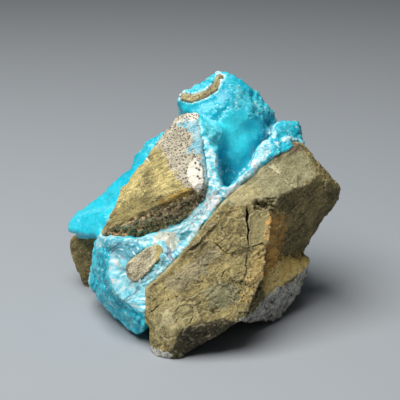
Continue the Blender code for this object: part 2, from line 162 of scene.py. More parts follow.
# Creases and ridges of the crust.
WEDGE_SIDE = [(-1.4, 33.0), (-0.3, 25.2), (0.4, 17.0), (0.6, 10.0)]
BULB_ARC = [(3.0, 28.1), (3.3, 31.0), (4.3, 32.7), (5.6, 34.0), (7.6, 35.6), (9.9, 35.6)]
CREVICE = [(20.4, 29.4), (21.8, 32.4), (23.4, 34.6)]
DOME_RIDGE = [(10.2, 44.2), (12.5, 39.9), (13.9, 35.6), (14.9, 32.3)]
# The ring's step is carved, and a painted shadow line runs along it.
RING_STEP = [(-32.9, -11.0), (-33.7, -18.8), (-31.8, -24.9), (-27.4, -30.0), (-20.2, -34.0)]
LOBE_RIDGE = [(-44.6, -0.7), (-38.6, 1.3), (-34.7, 2.0), (-31.0, 3.0)]

# Patches on the wedge.
CREAM_PATCH = [
    (-15.8, 24.8), (-13.9, 21.1), (-12.2, 18.5), (-10.9, 15.2), (-8.9, 12.5), (-6.9, 10.2),
    (-4.3, 9.6), (-2.3, 6.6), (0.3, 6.6), (0.7, 11.9), (0.4, 16.8), (-0.5, 22.0), (-1.5, 30.0),
    (-2.9, 36.0), (-8.2, 35.0), (-15.0, 28.4),
]
BLUE_COAT = [
    (-8.9, 30.4), (-6.9, 31.0), (-4.6, 30.8), (-2.6, 31.4), (-1.3, 28.4), (0.3, 21.8),
    (1.0, 16.8), (1.0, 9.9), (-0.2, 8.9), (-0.6, 13.5), (-0.8, 17.5), (-2.2, 20.5),
    (-5.3, 21.4), (-6.3, 20.8), (-5.9, 22.4), (-3.6, 23.8), (-4.0, 26.1), (-5.6, 28.4),
]
WHITE_PATCH = [
    (-5.3, 17.5), (-3.3, 19.1), (-1.7, 17.5), (-0.7, 13.5), (-1.0, 8.6), (-3.0, 7.9),
    (-5.0, 10.9), (-5.9, 14.5),
]
WEDGE_UNDER = [
    (-34.3, -5.6), (-30.7, -3.9), (-26.4, -2.3), (-21.4, 0.0), (-16.5, 2.4), (-12.2, 4.2),
    (-7.3, 5.9), (-3.0, 8.0), (-0.7, 9.6), (1.7, 8.6), (1.7, 4.9), (-4.3, 1.0), (-6.9, -4.3),
    (-12.9, -6.3), (-19.5, -8.6), (-29.4, -9.3),
]
WEDGE_OCHRE = [
    (-15.2, 4.0), (-12.2, 6.6), (-8.2, 8.5), (-3.0, 10.9), (-0.7, 11.6), (0.0, 9.2),
    (-2.6, 7.3), (-7.3, 5.3), (-12.2, 3.3),
]
WEDGE_DULL = [
    (-34.0, -4.0), (-28.7, 3.6), (-23.1, 5.9), (-14.9, 5.3), (-9.9, 3.6), (-18.2, -2.0),
    (-25.4, -5.3),
]
BLACK_SPOTS = [(-2.8, 15.7), (-2.0, 15.2), (-2.5, 13.2), (-1.7, 16.9), (-3.1, 17.5), (-1.9, 12.4)]
WEDGE_TIP = [(-9.5, 31.0), (-3.2, 36.5), (-1.8, 33.0), (-3.8, 29.8), (-6.6, 30.0)]
WHITE_FLECK = [(-20.0, 19.4), (-18.4, 18.2)]

# Patches on the main rock.
SHOULDER = [
    (4.0, 4.3), (9.9, 7.9), (13.9, 10.2), (17.5, 16.8), (21.4, 21.1), (26.4, 24.8),
    (29.7, 24.4), (33.0, 21.8), (37.0, 13.2), (30.4, 9.6), (23.8, 6.3), (14.9, 4.6), (8.9, 3.3),
]
OCHRE_MARGIN = [
    (18.8, -9.6), (19.8, -15.2), (19.1, -20.5), (16.8, -25.4), (13.5, -29.4), (10.9, -27.7),
    (12.9, -22.8), (14.9, -17.2), (16.2, -11.2),
]
GREEN_GREY = [
    (0.0, -24.4), (5.0, -22.1), (10.2, -22.8), (10.9, -27.7), (6.6, -30.4), (1.0, -29.4),
]
RUST_VALLEY = [
    (21.8, 0.6), (25.8, 0.6), (26.2, -3.0), (25.0, -9.6), (23.6, -15.2), (21.8, -22.8),
    (19.6, -24.4), (19.6, -15.2), (20.3, -7.9),
]
RIM_STAIN = [
    (22.1, 21.1), (24.8, 24.1), (28.1, 24.8), (31.4, 23.4), (31.4, 21.1), (27.4, 21.1),
    (24.1, 19.5), (20.8, 17.2),
]
# The ledge's top: its yellow stain is made paler by painted light, as it lies in shade.
LEDGE_TOP = [
    (18.8, -22.8), (22.1, -17.2), (26.4, -13.2), (30.4, -11.9), (33.7, -13.2), (35.0, -16.2),
    (32.3, -18.5), (28.1, -20.5), (23.1, -24.4), (20.1, -26.7),
]
# Where painted shade darkens the foot's undercut, between the chunk and the ledge.
WEATHERED_FOOT = [
    (-10.9, -44.9), (-9.6, -40.3), (-5.0, -36.3), (-0.3, -35.0), (5.6, -34.0), (10.8, -35.4),
    (10.5, -38.5), (4.0, -43.5), (-4.0, -50.0), (-9.5, -50.0),
]
LEDGE_GREY = [
    (10.9, -36.6), (10.5, -34.6), (16.5, -31.7), (21.1, -25.1), (26.1, -23.1), (30.0, -20.8),
    (33.0, -17.2), (35.0, -15.2), (36.3, -17.8), (34.7, -21.4), (31.4, -26.7), (26.1, -33.0),
    (22.9, -34.7), (17.5, -34.5),
]
FOOT_GREY = [
    (-21.4, -33.7), (-19.5, -37.6), (-18.5, -42.6), (-15.5, -44.2), (-10.9, -45.9),
    (-11.6, -48.5), (-15.8, -47.9), (-20.5, -43.9), (-22.8, -37.6),
]
# Lines on the main rock: cracks, the knob's groove, and the strip's foot with its painted shadow.
OPEN_CRACK = [(13.8, 2.8), (14.1, 0.2), (13.9, -1.6), (14.4, -4.9), (14.2, -7.0), (14.5, -11.4)]
FINE_CRACKS = [
    [(14.0, -12.6), (13.7, -15.2), (13.8, -17.6), (13.3, -20.5)],
    [(2.6, -8.7), (4.1, -9.4), (5.6, -11.0), (7.9, -13.1)],
    [(-18.4, -32.2), (-16.9, -31.3), (-15.8, -30.0), (-14.4, -28.9)],
    [(5.4, -20.2), (6.0, -19.4), (6.2, -18.6), (7.0, -17.8)],
    [(15.2, -10.2), (17.6, -9.6), (19.6, -8.8)],
    [(-5.2, -36.2), (-4.6, -34.6), (-3.3, -32.4)],
]
KNOB_GROOVE = [
    (-10.1, -34.0), (-9.4, -31.4), (-7.9, -29.7), (-6.0, -29.5), (-4.2, -30.2), (-3.9, -32.4),
    (-5.0, -34.6),
]
STRIP_FOOT = [
    (4.6, -2.8), (2.9, -4.2), (1.4, -5.6), (-0.6, -7.6), (-2.3, -9.9), (-5.3, -11.6),
    (-8.0, -13.1),
]
PITS = [(-16.6, -22.5), (-11.9, -27.6), (-9.4, -26.6), (-2.0, -18.9), (-25.2, -15.4)]
SPECKLED = [
    (8.4, -19.5), (13.2, -17.8), (18.2, -20.0), (18.6, -26.0), (15.2, -29.5), (8.2, -28.6),
    (5.4, -25.0),
]
NOTCH_RUBBLE = [
    (16.2, 3.4), (18.0, 5.6), (21.6, 6.6), (24.4, 4.4), (23.6, 1.2), (20.6, 0.2), (17.4, 1.2),
]
PALE_SPOTS = [(21.9, 16.4), (23.4, 15.2), (24.4, 14.6), (26.1, 12.0), (28.3, 10.4), (30.0, 9.6)]
PALE_CHIP = [
    (15.2, 0.4), (17.2, 0.6), (20.2, -0.8), (20.4, -3.0), (19.4, -7.2), (17.2, -9.4), (15.0, -9.8),
]
GREY_BAND = [
    (-14.0, -21.0), (-8.0, -17.5), (-2.0, -13.6), (4.0, -9.4), (5.2, -12.6), (0.6, -18.0),
    (-5.0, -22.4), (-11.0, -26.0),
]
# Painted highlights: the lit side of the knob, the chunk's lit face and the face by the notch.
KNOB_LIT = [
    (-14.6, -33.0), (-13.0, -31.2), (-10.6, -31.8), (-10.4, -35.0), (-12.4, -36.6), (-14.6, -35.6),
]
CHUNK_FACE = [
    (-15.5, -29.4), (-10.9, -27.7), (-3.0, -28.7), (-1.7, -33.7), (-9.6, -37.6), (-12.2, -42.6),
    (-15.8, -40.9), (-17.5, -35.0),
]
NOTCH_TOP = [(7.6, 6.6), (11.6, 9.9), (16.8, 9.9), (18.8, 7.9), (14.9, 4.0), (10.2, 3.3)]

# The direction of the rock's grain in the eye's view, as an angle from across.
MAIN_GRAIN = math.radians(42)
WEDGE_GRAIN = math.radians(14)
# The share of a ledge's width at which it is highest.
LEDGE_LIP = 0.82

# The stage, in metres.
FLOOR_HALF = 3
KEY_TOWARD = Vector((-0.3, -0.17, 0.93)).normalized()
KEY_DISTANCE = 0.75
KEY_SIZE = 0.62
KEY_TINT = (1, 0.98, 0.95)
SKY_TINT = "#dfe6ee"
NEAR_CLIP = 0.01

# Kinds of nodes that are used often.
MATH = "ShaderNodeMath"
VECTOR_MATH = "ShaderNodeVectorMath"
MIX = "ShaderNodeMix"
RANGE = "ShaderNodeMapRange"
NOISE = "ShaderNodeTexNoise"
CELLS = "ShaderNodeTexVoronoi"
PAINTED = "ShaderNodeAttribute"


def linear(code):
    """The linear colour of an sRGB hex code."""
    shares = [int(code[i : i + 2], 16) / 255 for i in (1, 3, 5)]
    return [s / 12.92 if s <= 0.04045 else ((s + 0.055) / 1.055) ** 2.4 for s in shares]


def shade(tone, factor=1):
    """A linear colour or an sRGB hex code, made lighter or darker and with its alpha."""
    channels = linear(tone) if isinstance(tone, str) else tone[:3]
    return [min(1, c * factor) for c in channels] + [1]


def colour(code, name, text):
    """A colour property with this sRGB default."""
    return FloatVectorProperty(
        name=name, description=text, default=linear(code), subtype="COLOR", min=0, max=1
    )


def length(millimetres, name, text):
    """A length property with this default."""
    return FloatProperty(
        name=name, description=text, default=millimetres * MM, min=0, unit="LENGTH", precision=5
    )


class RockSettings(bpy.types.PropertyGroup):
    """Sizes and colours of the broken rock."""

    facet_size: length(4.2, "Facet size", "Width of the small flats of a broken face")
    facet_height: length(0.3, "Facet height", "How far a small flat leans out")
    ledge_size: length(3.1, "Ledge size", "Distance between the ledges along the grain")
    ledge_height: length(0.26, "Ledge height", "Height of the ledges along the grain")
    ridge_size: length(0.75, "Ridge size", "Width of the ridges along the grain")
    ridge_height: length(0.13, "Ridge height", "Height of the ridges along the grain")
    main_colour: colour("#8a7d50", "Main rock", "Middle tone of the large lower rock")
    wedge_colour: colour("#aea06a", "Wedge", "Middle tone of the wedge")
    inclusion_colour: colour("#bfb698", "Inclusion", "Middle tone of the enclosed piece")
    left_colour: colour("#7f7249", "Left rock", "Middle tone of the dark piece at the left")
    sheet_colour: colour("#a49870", "Sheet", "Middle tone of the thin sheet near the top")
    rust_colour: colour("#7c5c2c", "Rust", "Iron stain in the valley")
    cream_colour: colour("#cdc6b2", "Cream", "Pale layer with black grains on the wedge")


class CrustSettings(bpy.types.PropertyGroup):
    """Sizes and colours of the hemimorphite."""

    dome_size: length(4.4, "Dome size", "Width of the small domes where the crust grew free")
    dome_height: length(1.3, "Dome height", "Height of the small domes")
    druse_size: length(1.9, "Druse size", "Width of the crystals where the crust grew free")
    druse_height: length(0.36, "Druse height", "How far such a crystal leans out")
    crystal_size: length(1.3, "Crystal size", "Width of the crystals on a broken face")
    crystal_height: length(0.14, "Crystal height", "How far a crystal leans out")
    overgrowth: length(0.35, "Overgrowth", "How far the crust grows on to the rock")
    free_colour: colour("#10cae6", "Free face", "Blue of the smooth grown faces")
    # The depth colour is also painted as shade in hollows and creases.
    deep_colour: colour("#10879d", "Depth", "Blue of hollows and clear parts")
    broken_colour: colour("#b8f0fa", "Broken face", "Pale blue of the broken bands")


class StageSettings(bpy.types.PropertyGroup):
    """The floor and the lights."""

    floor_colour: colour("#a2a8ae", "Floor", "Colour of the plain floor")
    key_power: FloatProperty(
        name="Key light", description="Power of the large light at the upper left",
        default=9.1, min=0, subtype="POWER",
    )
    fill_strength: FloatProperty(
        name="Fill", description="Strength of the even light from all round", default=0.076, min=0
    )


def softly(value, start, end):
    """0 up to start, 1 from end, and a smooth rise between them."""
    share = np.clip((value - start) / (end - start), 0, 1)
    return share * share * (3 - 2 * share)


def read(items, name, width):
    """One property of many mesh elements as an array."""
    kind = np.int32 if name == "vertices" else np.float32
    values = np.empty(len(items) * width, kind)
    items.foreach_get(name, values)
    return values.reshape(-1, width)


def seen(places):
    """How far across and up the eye sees each place from MIDDLE, in millimetres."""
    reach = (places - np.array(MIDDLE)) / MM
    nearness = 1 + reach @ np.array(AWAY) * MM / EYE_DISTANCE
    return np.stack([reach[:, 0], reach @ np.array(UPWARD)], 1) / nearness[:, None]


def along(view, line):
    """How far each seen place is from a line of points in millimetres, and its share of the run."""
    points = np.array(line)
    runs = points[1:] - points[:-1]
    lengths = np.linalg.norm(runs, axis=1)
    begun = np.concatenate([[0], np.cumsum(lengths)])
    nearest = np.full(len(view), np.inf)
    share = np.zeros(len(view))
    for start, run, size, passed in zip(points[:-1], runs, lengths, begun):
        part = np.clip((view - start) @ run / (size * size), 0, 1)
        away = np.linalg.norm(view - start - part[:, None] * run, axis=1)
        share = np.where(away < nearest, (passed + part * size) / begun[-1], share)
        nearest = np.minimum(nearest, away)
    return nearest, share


def depth_inside(view, outline):
    """How far each seen place is inside an outline, in millimetres, negative outside it."""
    ring = outline + outline[:1]
    inside = np.zeros(len(view), bool)
    for (x1, y1), (x2, y2) in zip(ring[:-1], ring[1:]):
        if y1 != y2:
            crosses = (view[:, 1] < y1) != (view[:, 1] < y2)
            inside ^= crosses & (view[:, 0] < x1 + (view[:, 1] - y1) * (x2 - x1) / (y2 - y1))
    return np.where(inside, 1, -1) * along(view, ring)[0]


def noise_at(places, size, seed, octaves=3):
    """Smooth noise from about -1 to 1, with bumps of this size."""
    spots = (places - np.array(MIDDLE)) / size + seed
    return np.array([noise.fractal(s, 0.8, 2.0, octaves) for s in spots.tolist()])


def ridges_at(places, size, seed, grain, stretch):
    """Sharp-crested noise from 0 to about 1, drawn out along the grain."""
    run = np.array(grain)
    spots = (places - np.array(MIDDLE)) / size
    spots = spots - np.outer(spots @ run, run) * (1 - 1 / stretch) + seed
    values = [noise.ridged_multi_fractal(s, 0.9, 2.1, 4, 1.0, 1.8) for s in spots.tolist()]
    return np.clip(np.array(values) / 2.2, 0, 1)


def steps_at(places, size, seed, grain):
    """Uneven ledges that run along the grain, 0 at a ledge's foot and 1 at its lip."""
    across = np.array(AWAY.cross(grain).normalized())
    count = (places - np.array(MIDDLE)) @ across / size
    count += 1.3 * noise_at(places, size * 3.5, seed, octaves=4)
    rise = count % 1
    return np.where(rise < LEDGE_LIP, rise / LEDGE_LIP, (1 - rise) / (1 - LEDGE_LIP))


def flats_at(places, size, seed):
    """Small flats that each lean their own way, from -1 to 1."""
    values = []
    for spot in ((places - np.array(MIDDLE)) / size + seed).tolist():
        near = noise.voronoi(spot)[1][0]
        lean = noise.cell_vector(near * 37) * 2 - Vector((1, 1, 1))
        values.append(lean.dot(Vector(spot) - near) * 1.6)
    return np.clip(np.array(values), -1, 1)


def domes_at(places, size, seed):
    """Rounded domes side by side, 0 between them and 1 at their tops."""
    spots = (places - np.array(MIDDLE)) / size + seed
    reach = np.array([noise.voronoi(s)[0][0] for s in spots.tolist()]) / 0.85
    return np.sqrt(np.clip(1 - reach * reach, 0, 1))


def nearest_on(places, *nodes):
    """The nearest point on these solids to each place, and how far it is in millimetres."""
    joined = bmesh.new()
    for node in nodes:
        joined.from_mesh(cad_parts[node].data)
    tree = BVHTree.FromBMesh(joined)
    joined.free()
    found = [tree.find_nearest(p) for p in places.tolist()]
    return np.array([f[0] for f in found]), np.array([f[3] for f in found]) / MM


def even_faces(node, name, face):
    """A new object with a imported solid's shape in small even faces."""
    bm = bmesh.new()
    bm.from_mesh(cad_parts[node].data)
    bmesh.ops.remove_doubles(bm, verts=bm.verts, dist=MERGE)
    mesh = bpy.data.meshes.new(name)
    bm.to_mesh(mesh)
    bm.free()
    piece = bpy.data.objects.new(name, mesh)
    bpy.context.scene.collection.objects.link(piece)
    remesh = piece.modifiers.new("Even faces", "REMESH")
    remesh.mode = "VOXEL"
    remesh.voxel_size = face
    graph = bpy.context.evaluated_depsgraph_get()
    piece.data = bpy.data.meshes.new_from_object(piece.evaluated_get(graph))
    piece.modifiers.clear()
    piece.data.name = name
    return piece


def finer_near(piece, lines, reach):
    """Cuts a piece's front faces smaller along lines that it is carved on."""
    bm = bmesh.new()
    bm.from_mesh(piece.data)
    view = seen(np.array([v.co for v in bm.verts]))
    facing = np.array([v.normal.dot(AWAY) < 0 for v in bm.verts])
    near = facing & (np.min([along(view, line)[0] for line in lines], 0) < reach)
    bm.verts.index_update()
    edges = [e for e in bm.edges if near[e.verts[0].index] and near[e.verts[1].index]]
    bmesh.ops.subdivide_edges(bm, edges=edges, cuts=1, use_grid_fill=True)
    bmesh.ops.triangulate(bm, faces=[f for f in bm.faces if len(f.verts) > 4])
    bm.to_mesh(piece.data)
    bm.free()


class Skin:
    """The surface of one piece while it is shaped and painted."""

    def __init__(self, piece):
        self.piece = piece
        self.places = read(piece.data.vertices, "co", 3).astype(float)
        self.ends = read(piece.data.edges, "vertices", 2)
        self.links = np.maximum(np.bincount(self.ends.ravel(), minlength=len(self.places)), 1)
        self.measure()

    def measure(self):
        """Puts the places into the mesh, and reads the normals and the view that follow."""
        self.piece.data.vertices.foreach_set("co", self.places.ravel())
        self.piece.data.update()
        self.normals = read(self.piece.data.vertices, "normal", 3).astype(float)
        self.view = seen(self.places)
        self.facing = -self.normals @ np.array(AWAY)
        self.front = softly(self.facing, -0.1, 0.15)

    def around(self, values):
        """The mean of each vertex's neighbours."""
        first, second = self.ends.T
        count = len(self.places)
        sums = [
            np.bincount(first, c[second], count) + np.bincount(second, c[first], count)
            for c in values.reshape(count, -1).T
        ]
        return (np.array(sums) / self.links).T.reshape(values.shape)

    def blurred(self, values, rounds):
        """Values spread over their neighbours."""
        for _ in range(rounds):
            values = (values + self.around(values)) / 2
        return values

    def smooth(self, rounds, weight=1.0):
        """Moves each vertex towards its neighbours' mean, by its weight."""
        for _ in range(rounds):
            pull = self.around(self.places) - self.places
            self.places += pull * np.reshape(weight, (-1, 1)) / 2
        self.measure()

    def push(self, distance):
        """Moves each vertex out along its normal."""
        self.places += self.normals * np.reshape(distance, (-1, 1))
        self.measure()

    def crests(self, rounds):
        """How far each vertex stands out from the surface round it, in millimetres."""
        return ((self.places - self.blurred(self.places, rounds)) * self.normals).sum(1) / MM

    def wander(self, reach):
        """The seen places moved a little to and fro, for lines and edges that aren't ruled."""
        drift = [noise_at(self.places, 1.7 * MM, seed, octaves=4) for seed in (31, 57)]
        return self.view + np.stack(drift, 1) * reach

    def patch(self, outline, edge=0.4, ragged=0.8):
        """1 on the front inside an outline, 0 outside it, with an uneven edge."""
        return softly(depth_inside(self.wander(ragged), outline), -edge, edge) * self.front

    def streak(self, line, width, ragged=0.5):
        """1 on the front along a line of this half width, 0 away from it."""
        away = along(self.wander(ragged), line)[0]
        return softly(-away, -width - 0.3, -width + 0.3) * self.front

    def spots(self, centres, size):
        """1 on the front at each of these places, 0 away from them."""
        view = self.wander(0.25)
        away = np.min([np.linalg.norm(view - np.array(c), axis=1) for c in centres], 0)
        return softly(-away, -size - 0.15, -size + 0.15) * self.front

    def carve(self, line, width, depth, ragged=0.35):
        """Cuts an uneven groove along a line, or raises a ridge there if depth is negative."""
        away, share = along(self.wander(ragged), line)
        taper = softly(share, -0.05, 0.2) * softly(1 - share, -0.05, 0.35)
        uneven = 1 + 0.5 * noise_at(self.places, 2.2 * MM, seed=41)
        cut = softly(-away / np.maximum(width * uneven * (0.4 + 0.6 * taper), 0.01), -1, -0.3)
        cut *= taper * softly(self.facing, 0, 0.2)
        self.places += np.outer(cut * depth, np.array(AWAY))
        self.measure()
        return cut

    def paint(self, **layers):
        """Keeps values on the mesh for its material, each under its name."""
        for name, values in layers.items():
            values = np.asarray(values, np.float32)
            kind, field = ("FLOAT", "value") if values.ndim == 1 else ("FLOAT_VECTOR", "vector")
            layer = self.piece.data.attributes.new(name, kind, "POINT")
            layer.data.foreach_set(field, values.ravel())

    def finish(self, node, material):
        """Keeps the piece inside the solids' box, and puts it in its solid's place."""
        self.places = np.clip(self.places, *np.array(CAD_BOX))
        self.measure()
        mesh = self.piece.data
        mesh.materials.clear()
        mesh.materials.append(material)
        mesh.shade_smooth()
        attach(self.piece, "root")
        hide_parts(node)


def grain_direction(angle):
    """The grain's direction in the specimen, from its angle in the eye's view."""
    return Vector((math.cos(angle), 0, 0)) + UPWARD * math.sin(angle)


def break_rock(skin, settings, grain, rough):
    """Gives a rock leaning flats, and ledges and ridges along its grain, as far as it is rough."""
    skin.smooth(2)
    patchy = 0.35 + 0.65 * softly(noise_at(skin.places, 8 * MM, seed=23), -0.5, 0.5)
    flats = flats_at(skin.places, settings.facet_size, seed=3)
    flats += 0.4 * flats_at(skin.places, settings.facet_size * 0.3, seed=11)
    steps = steps_at(skin.places, settings.ledge_size, 29, grain) - 0.5
    ridges = ridges_at(skin.places, settings.ridge_size, 7, grain, stretch=5) - 0.5
    crumbs = noise_at(skin.places, 0.7 * MM, seed=13, octaves=2) * 0.045 * MM
    layered = steps * settings.ledge_height + ridges * settings.ridge_height
    lift = flats * settings.facet_height + patchy * layered
    # The rock is smoother, and a little proud, where the crust holds it.
    free = softly(nearest_on(skin.places, "hemimorphite_crust")[1], 0.5, 2.0)
    skin.push(rough * (lift * (0.35 + 0.65 * free) + crumbs) + (1 - free) * 0.55 * MM)


def paint_relief(skin, sheltered=0.0):
    """Painted highlight where the surface stands out, painted shade in hollows and facing down."""
    crests = skin.crests(4)
    # Painted shade under faces that turn down, as far as the piece asks for it.
    below = sheltered * softly(-skin.normals[:, 2], -0.1, 0.5)
    pits = np.maximum(softly(-crests, 0.02, 0.15), below)
    skin.paint(edge=softly(crests, 0.02, 0.13), pit=pits)


def add(tree, kind, links=None, **settings):
    """Adds a node with its settings. An input is a value, a hex code, a socket or a node."""
    node = tree.nodes.new(kind)
    for name, value in settings.items():
        setattr(node, name, value)
    for socket, source in (links or {}).items():
        if isinstance(source, str):
            source = shade(source)
        elif isinstance(source, bpy.types.Node):
            source = next(output for output in source.outputs if output.enabled)
        if isinstance(source, bpy.types.NodeSocket):
            tree.links.new(source, node.inputs[socket])
        else:
            node.inputs[socket].default_value = source
    return node


def new_material(name):
    """An empty node material, with its tree."""
    material = bpy.data.materials.new(name)
    material.use_nodes = True
    material.node_tree.nodes.clear()
    return material, material.node_tree


def set_ramp(node, stops):
    """Gives a colour ramp its stops, as pairs of a place and a colour."""
    ramp = node.color_ramp
    while len(ramp.elements) < len(stops):
        ramp.elements.new(0.5)
    for element, (place, tone) in zip(ramp.elements, stops):
        element.position = place
        element.color = shade(tone)


def washed(tree, surface, attribute, tone, share):
    """The surface with a colour over it, by a share of what is painted under a name."""
    mask = add(tree, PAINTED, attribute_name=attribute).outputs["Fac"]
    mask = add(tree, MATH, {0: mask, 1: share}, operation="MULTIPLY")
    return add(tree, MIX, {0: mask, 6: surface, 7: tone}, data_type="RGBA")


def frayed(tree, attribute, fray, share, start, end, strength=1):
    """A mask from what is painted under a name, its soft edge broken up by a share of fray."""
    mask = add(tree, PAINTED, attribute_name=attribute).outputs["Fac"]
    mask = add(tree, MATH, {0: fray, 1: share, 2: mask}, operation="MULTIPLY_ADD")
    return add(
        tree, RANGE, {0: mask, 1: start, 2: end, 4: strength}, interpolation_type="SMOOTHSTEP"
    )


def broken_dolostone(skin, name, base, grain, coats, grain_colour="#2f2a24"):
    """Iron-stained dolostone, freshly broken: dull and granular, with streaks along its bedding.

    The eye sees a matt olive-brown stone with dark grains, darker by painted shade in its pits and
    under its downward faces, paler by painted highlight on its broken edges, and with other tones
    where a coat or a stain is painted on it, some of them painted light or shade.
    """
    material, tree = new_material(name)
    place = add(tree, "ShaderNodeTexCoord").outputs["Object"]
    # Bedding streaks about 1.2 mm wide and 4 times as long, turned to the grain.
    turn = Vector((1, 0, 0)).rotation_difference(grain).to_euler()
    bedding = add(
        tree, "ShaderNodeMapping", {0: place, 2: turn, 3: (4 * MM, MM, MM)}, vector_type="TEXTURE"
    )
    streaks = add(tree, NOISE, {0: bedding, 2: 1 / 1.2, 3: 6, 4: 0.66, "Distortion": 0.5})
    blotches = add(tree, NOISE, {0: place, 2: 1 / (7 * MM), 3: 4, 4: 0.55})
    # Sand-sized grains, drawn at 0.45 mm so that they show.
    sand = add(tree, NOISE, {0: place, 2: 1 / (0.45 * MM), 3: 2, 4: 0.6})
    tone = -0.32
    for source, share in ((streaks, 0.62), (blotches, 0.5), (sand, 0.52)):
        tone = add(tree, MATH, {0: source, 1: share, 2: tone}, operation="MULTIPLY_ADD")
    surface = add(tree, "ShaderNodeValToRGB", {0: tone})
    stops = ((0.36, 0.34), (0.45, 0.76), (0.53, 1.16), (0.63, 1.85))
    set_ramp(surface, [(spot, shade(base, factor)) for spot, factor in stops])
    # Each coat is painted on the piece, and its soft edge is broken up by the sand and streaks.
    fray = add(tree, MATH, {0: streaks, 1: sand}, operation="ADD")
    lit = add(tree, RANGE, {0: tone, 1: 0.4, 2: 0.6})
    for attribute, painted, dark, light, strength in coats:
        skin.paint(**{attribute: painted})
        mask = frayed(tree, attribute, fray, 0.5, 0.8, 1.15, strength)
        paint = add(tree, MIX, {0: lit, 6: dark, 7: light}, data_type="RGBA")
        surface = add(tree, MIX, {0: mask, 6: surface, 7: paint}, data_type="RGBA")
    # Dark mineral grains about 0.45 mm across and 0.8 mm apart, of uneven size.
    cells = add(tree, CELLS, {0: place, 2: 1 / (0.78 * MM)})
    hue, reach = cells.outputs["Color"], cells.outputs["Distance"]
    size = add(tree, MATH, {0: hue, 1: 0.3, 2: reach}, operation="MULTIPLY_ADD")
    dots = add(tree, RANGE, {0: size, 1: 0.6, 2: 0.46}, interpolation_type="SMOOTHSTEP")
    where = add(tree, PAINTED, attribute_name="grains").outputs["Fac"]
    dots = add(tree, MATH, {0: dots, 1: where}, operation="MULTIPLY")
    surface = add(tree, MIX, {0: dots, 6: surface, 7: grain_colour}, data_type="RGBA")
    # Painted highlight on edges, painted shade in pits and below, dark cracks and painted shadow.
    for attribute, tint, share in (
        ("edge", "#ddd2aa", 0.42), ("pit", "#241d11", 0.5), ("crack", "#0d0b08", 0.95)
    ):
        surface = washed(tree, surface, attribute, tint, share)
    relief = add(tree, MATH, {0: sand, 1: 0.6, 2: streaks}, operation="MULTIPLY_ADD")
    bump = add(tree, "ShaderNodeBump", {0: 1, 1: 0.45 * MM, "Height": relief})
    rough = add(tree, RANGE, {0: sand, 1: 0.3, 2: 0.7, 3: 0.62, 4: 0.9})
    stone = add(
        tree,
        "ShaderNodeBsdfPrincipled",
        {"Base Color": surface, "Roughness": rough, "IOR": 1.5, "Normal": bump,
         "Specular IOR Level": 0.35},
    )
    add(tree, "ShaderNodeOutputMaterial", {0: stone})
    return material


